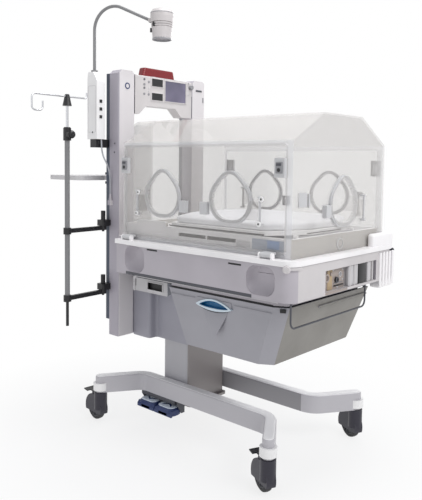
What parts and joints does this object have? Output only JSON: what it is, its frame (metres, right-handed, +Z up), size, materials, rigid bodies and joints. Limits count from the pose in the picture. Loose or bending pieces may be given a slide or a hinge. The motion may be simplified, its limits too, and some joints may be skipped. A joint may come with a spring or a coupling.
{
  "type": "infant incubator",
  "caption": "Clear-hooded infant care bed on a lift column and swivel casters, with side doors, portholes, drawer, lamp and accessory pole.",
  "frame": {"origin": "floor level, under the middle of the overall bounding box", "axes": "+X towards the foot end, +Y towards the rear side, +Z up"},
  "size_m": [1.225, 0.9212, 1.6408],
  "materials": {
    "leg_paint": "satin pale lilac-grey paint",
    "white_plastic": "smooth white moulding",
    "column_paint": "grey powder coat",
    "dark_plastic": "black moulding",
    "tyre_grey": "dark tread with a grey hub",
    "pedal_navy": "navy with pale tops",
    "housing_grey": "grey moulding",
    "upright_lilac": "satin lilac-grey",
    "rail_slate": "slate-blue anodised",
    "panel_light": "light grey-white",
    "display_dark": "dark glossy pane",
    "key_grey": "soft keys",
    "alarm_red": "dark red lens",
    "chassis_shell": "warm white shell",
    "drawer_grey": "grey moulding",
    "handle_teal": "teal with a pale rim",
    "clear_acrylic": "clear acrylic",
    "cushion": "wipe-clean cover",
    "steel": "bright steel",
    "black_metal": "black coat",
    "lamp_white": "white moulding",
    "cord_grey": "light grey sheath",
    "shelf_white": "white shelf"
  },
  "bodies": {
    "base": {"base_beam_front": "leg_paint", "base_beam_rear": "leg_paint", "caster_sockets": "white_plastic", "base_plate": "column_paint", "lift_sleeve": "column_paint", "lift_actuator": "steel", "pedal_bracket": "black_metal"},
    "carriage": {"lift_post": "steel", "lower_housing": "housing_grey", "chassis": "chassis_shell", "connector_panel": "dark_plastic", "upright_front": "upright_lilac", "upright_rear": "upright_lilac", "accessory_rails": "rail_slate", "control_panel": "panel_light", "display_windows": "display_dark", "keypad": "key_grey", "alarm_bar": "alarm_red", "drawer_frame": "housing_grey", "bed_deck": "panel_light", "hood": "clear_acrylic", "wire_bail": "steel", "rail_clamps": "black_metal", "lamp_box": "lamp_white", "lamp_cord": "cord_grey"},
    "fork_front_foot": {"caster_fork_front_foot": "dark_plastic"},
    "wheel_front_foot": {"caster_wheel_front_foot": "tyre_grey"},
    "fork_rear_foot": {"caster_fork_rear_foot": "dark_plastic"},
    "wheel_rear_foot": {"caster_wheel_rear_foot": "tyre_grey"},
    "brake_foot": {"brake_lever_foot": "dark_plastic"},
    "fork_front_head": {"caster_fork_front_head": "dark_plastic"},
    "wheel_front_head": {"caster_wheel_front_head": "tyre_grey"},
    "fork_rear_head": {"caster_fork_rear_head": "dark_plastic"},
    "wheel_rear_head": {"caster_wheel_rear_head": "tyre_grey"},
    "brake_head": {"brake_lever_head": "dark_plastic"},
    "pedal_down": {"pedal_down": "pedal_navy"},
    "pedal_up": {"pedal_up": "pedal_navy"},
    "drawer": {"drawer": "drawer_grey", "drawer_handle": "handle_teal"},
    "reservoir": {"reservoir": "panel_light"},
    "tilt_frame": {"tilt_frame": "steel"},
    "bed": {"bed_platform": "panel_light", "mattress": "cushion"},
    "door_front": {"door_front": "clear_acrylic"},
    "latch_front_head": {"door_latch_front_head": "dark_plastic"},
    "latch_front_foot": {"door_latch_front_foot": "dark_plastic"},
    "porthole_front_head": {"porthole_front_head": "clear_acrylic"},
    "porthole_front_foot": {"porthole_front_foot": "clear_acrylic"},
    "door_rear": {"door_rear": "clear_acrylic"},
    "latch_rear_head": {"door_latch_rear_head": "dark_plastic"},
    "latch_rear_foot": {"door_latch_rear_foot": "dark_plastic"},
    "porthole_rear_head": {"porthole_rear_head": "clear_acrylic"},
    "porthole_rear_foot": {"porthole_rear_foot": "clear_acrylic"},
    "porthole_foot": {"porthole_foot": "clear_acrylic"},
    "control_knob": {"control_knob": "dark_plastic"},
    "pole": {"pole_arm": "black_metal"},
    "iv_rod": {"iv_rod": "black_metal"},
    "shelf": {"shelf": "shelf_white"},
    "lamp_neck": {"gooseneck": "steel"},
    "lamp_head": {"lamp_head": "lamp_white"}
  },
  "joints": [
    {"name": "bed_lift", "type": "slide", "parent": "base", "child": "carriage", "axis": [0, 0, 1], "range_m": [0, 0.3]},
    {"name": "swivel_front_foot", "type": "hinge", "parent": "base", "child": "fork_front_foot", "pos_m": [0.4975, -0.1444, 0.1], "axis": [0, 0, 1], "continuous": true},
    {"name": "roll_front_foot", "type": "hinge", "parent": "fork_front_foot", "child": "wheel_front_foot", "pos_m": [0.47031, -0.13172, 0.05], "axis": [0.4226, 0.9063, 0], "continuous": true},
    {"name": "swivel_rear_foot", "type": "hinge", "parent": "base", "child": "fork_rear_foot", "pos_m": [0.4975, 0.4056, 0.1], "axis": [0, 0, 1], "continuous": true},
    {"name": "roll_rear_foot", "type": "hinge", "parent": "fork_rear_foot", "child": "wheel_rear_foot", "pos_m": [0.47031, 0.41828, 0.05], "axis": [0.4226, 0.9063, 0], "continuous": true},
    {"name": "brake_foot", "type": "hinge", "parent": "fork_front_foot", "child": "brake_foot", "pos_m": [0.46669, -0.13003, 0.11], "axis": [-0.4226, -0.9063, 0], "range_deg": [0, 12]},
    {"name": "swivel_front_head", "type": "hinge", "parent": "base", "child": "fork_front_head", "pos_m": [-0.3425, -0.1444, 0.1], "axis": [0, 0, 1], "continuous": true},
    {"name": "roll_front_head", "type": "hinge", "parent": "fork_front_head", "child": "wheel_front_head", "pos_m": [-0.37239, -0.14178, 0.05], "axis": [0.0872, 0.9962, 0], "continuous": true},
    {"name": "swivel_rear_head", "type": "hinge", "parent": "base", "child": "fork_rear_head", "pos_m": [-0.3425, 0.4056, 0.1], "axis": [0, 0, 1], "continuous": true},
    {"name": "roll_rear_head", "type": "hinge", "parent": "fork_rear_head", "child": "wheel_rear_head", "pos_m": [-0.37239, 0.40821, 0.05], "axis": [0.0872, 0.9962, 0], "continuous": true},
    {"name": "brake_head", "type": "hinge", "parent": "fork_front_head", "child": "brake_head", "pos_m": [-0.37637, -0.14144, 0.11], "axis": [-0.0872, -0.9962, 0], "range_deg": [0, 12]},
    {"name": "press_down", "type": "hinge", "parent": "base", "child": "pedal_down", "pos_m": [-0.1365, 0.0146, 0.078], "axis": [1, 0, 0], "range_deg": [0, 10], "stiffness_Nm_per_rad": 4, "springref_deg": -5.73},
    {"name": "press_up", "type": "hinge", "parent": "base", "child": "pedal_up", "pos_m": [-0.1365, 0.0146, 0.078], "axis": [1, 0, 0], "range_deg": [0, 10], "stiffness_Nm_per_rad": 4, "springref_deg": -5.73},
    {"name": "drawer_slide", "type": "slide", "parent": "carriage", "child": "drawer", "axis": [0, -1, 0], "range_m": [0, 0.3]},
    {"name": "reservoir_slide", "type": "slide", "parent": "carriage", "child": "reservoir", "axis": [0, -1, 0], "range_m": [0, 0.06]},
    {"name": "tilt_foot_up", "type": "hinge", "parent": "carriage", "child": "tilt_frame", "pos_m": [-0.0225, 0.1306, 0.805], "axis": [0, -1, 0], "range_deg": [0, 12]},
    {"name": "tilt_head_up", "type": "hinge", "parent": "tilt_frame", "child": "bed", "pos_m": [0.5175, 0.1306, 0.805], "axis": [0, 1, 0], "range_deg": [0, 12]},
    {"name": "door_front_fold", "type": "hinge", "parent": "carriage", "child": "door_front", "pos_m": [0.1875, -0.1874, 0.766], "axis": [1, 0, 0], "range_deg": [0, 95]},
    {"name": "latch_front_head", "type": "slide", "parent": "door_front", "child": "latch_front_head", "axis": [0, 1, 0], "range_m": [0, 0.003], "stiffness_N_per_m": 300, "springref_m": -0.004},
    {"name": "latch_front_foot", "type": "slide", "parent": "door_front", "child": "latch_front_foot", "axis": [0, 1, 0], "range_m": [0, 0.003], "stiffness_N_per_m": 300, "springref_m": -0.004},
    {"name": "porthole_front_head_swing", "type": "hinge", "parent": "door_front", "child": "porthole_front_head", "pos_m": [-0.0915, -0.1742, 0.895], "axis": [0, 0, -1], "range_deg": [0, 110]},
    {"name": "porthole_front_foot_swing", "type": "hinge", "parent": "door_front", "child": "porthole_front_foot", "pos_m": [0.4705, -0.1742, 0.895], "axis": [0, 0, 1], "range_deg": [0, 110]},
    {"name": "door_rear_fold", "type": "hinge", "parent": "carriage", "child": "door_rear", "pos_m": [0.1875, 0.4486, 0.766], "axis": [-1, 0, 0], "range_deg": [0, 95]},
    {"name": "latch_rear_head", "type": "slide", "parent": "door_rear", "child": "latch_rear_head", "axis": [0, -1, 0], "range_m": [0, 0.003], "stiffness_N_per_m": 300, "springref_m": -0.004},
    {"name": "latch_rear_foot", "type": "slide", "parent": "door_rear", "child": "latch_rear_foot", "axis": [0, -1, 0], "range_m": [0, 0.003], "stiffness_N_per_m": 300, "springref_m": -0.004},
    {"name": "porthole_rear_head_swing", "type": "hinge", "parent": "door_rear", "child": "porthole_rear_head", "pos_m": [-0.0915, 0.4354, 0.895], "axis": [0, 0, 1], "range_deg": [0, 110]},
    {"name": "porthole_rear_foot_swing", "type": "hinge", "parent": "door_rear", "child": "porthole_rear_foot", "pos_m": [0.4705, 0.4354, 0.895], "axis": [0, 0, -1], "range_deg": [0, 110]},
    {"name": "porthole_foot_swing", "type": "hinge", "parent": "carriage", "child": "porthole_foot", "pos_m": [0.5899, 0.2556, 0.895], "axis": [0, 0, 1], "range_deg": [0, 110]},
    {"name": "knob_turn", "type": "hinge", "parent": "carriage", "child": "control_knob", "pos_m": [-0.2675, 0.2826, 1.367], "axis": [1, 0, 0], "continuous": true},
    {"name": "pole_swing", "type": "hinge", "parent": "carriage", "child": "pole", "pos_m": [-0.3405, -0.1354, 0.78], "axis": [0, 0, 1], "range_deg": [-40, 35]},
    {"name": "rod_slide", "type": "slide", "parent": "pole", "child": "iv_rod", "axis": [0, 0, 1], "range_m": [0, 0.15]},
    {"name": "shelf_swing", "type": "hinge", "parent": "carriage", "child": "shelf", "pos_m": [-0.3755, -0.0724, 0.976], "axis": [0, 0, 1], "range_deg": [-25, 15]},
    {"name": "neck_swivel", "type": "hinge", "parent": "carriage", "child": "lamp_neck", "pos_m": [-0.3625, -0.1614, 1.38], "axis": [0, 0, 1], "range_deg": [-90, 90]},
    {"name": "lamp_tilt", "type": "hinge", "parent": "lamp_neck", "child": "lamp_head", "pos_m": [-0.12514, -0.0829, 1.568], "axis": [-0.314, 0.9494, 0], "range_deg": [-25, 25]}
  ]
}
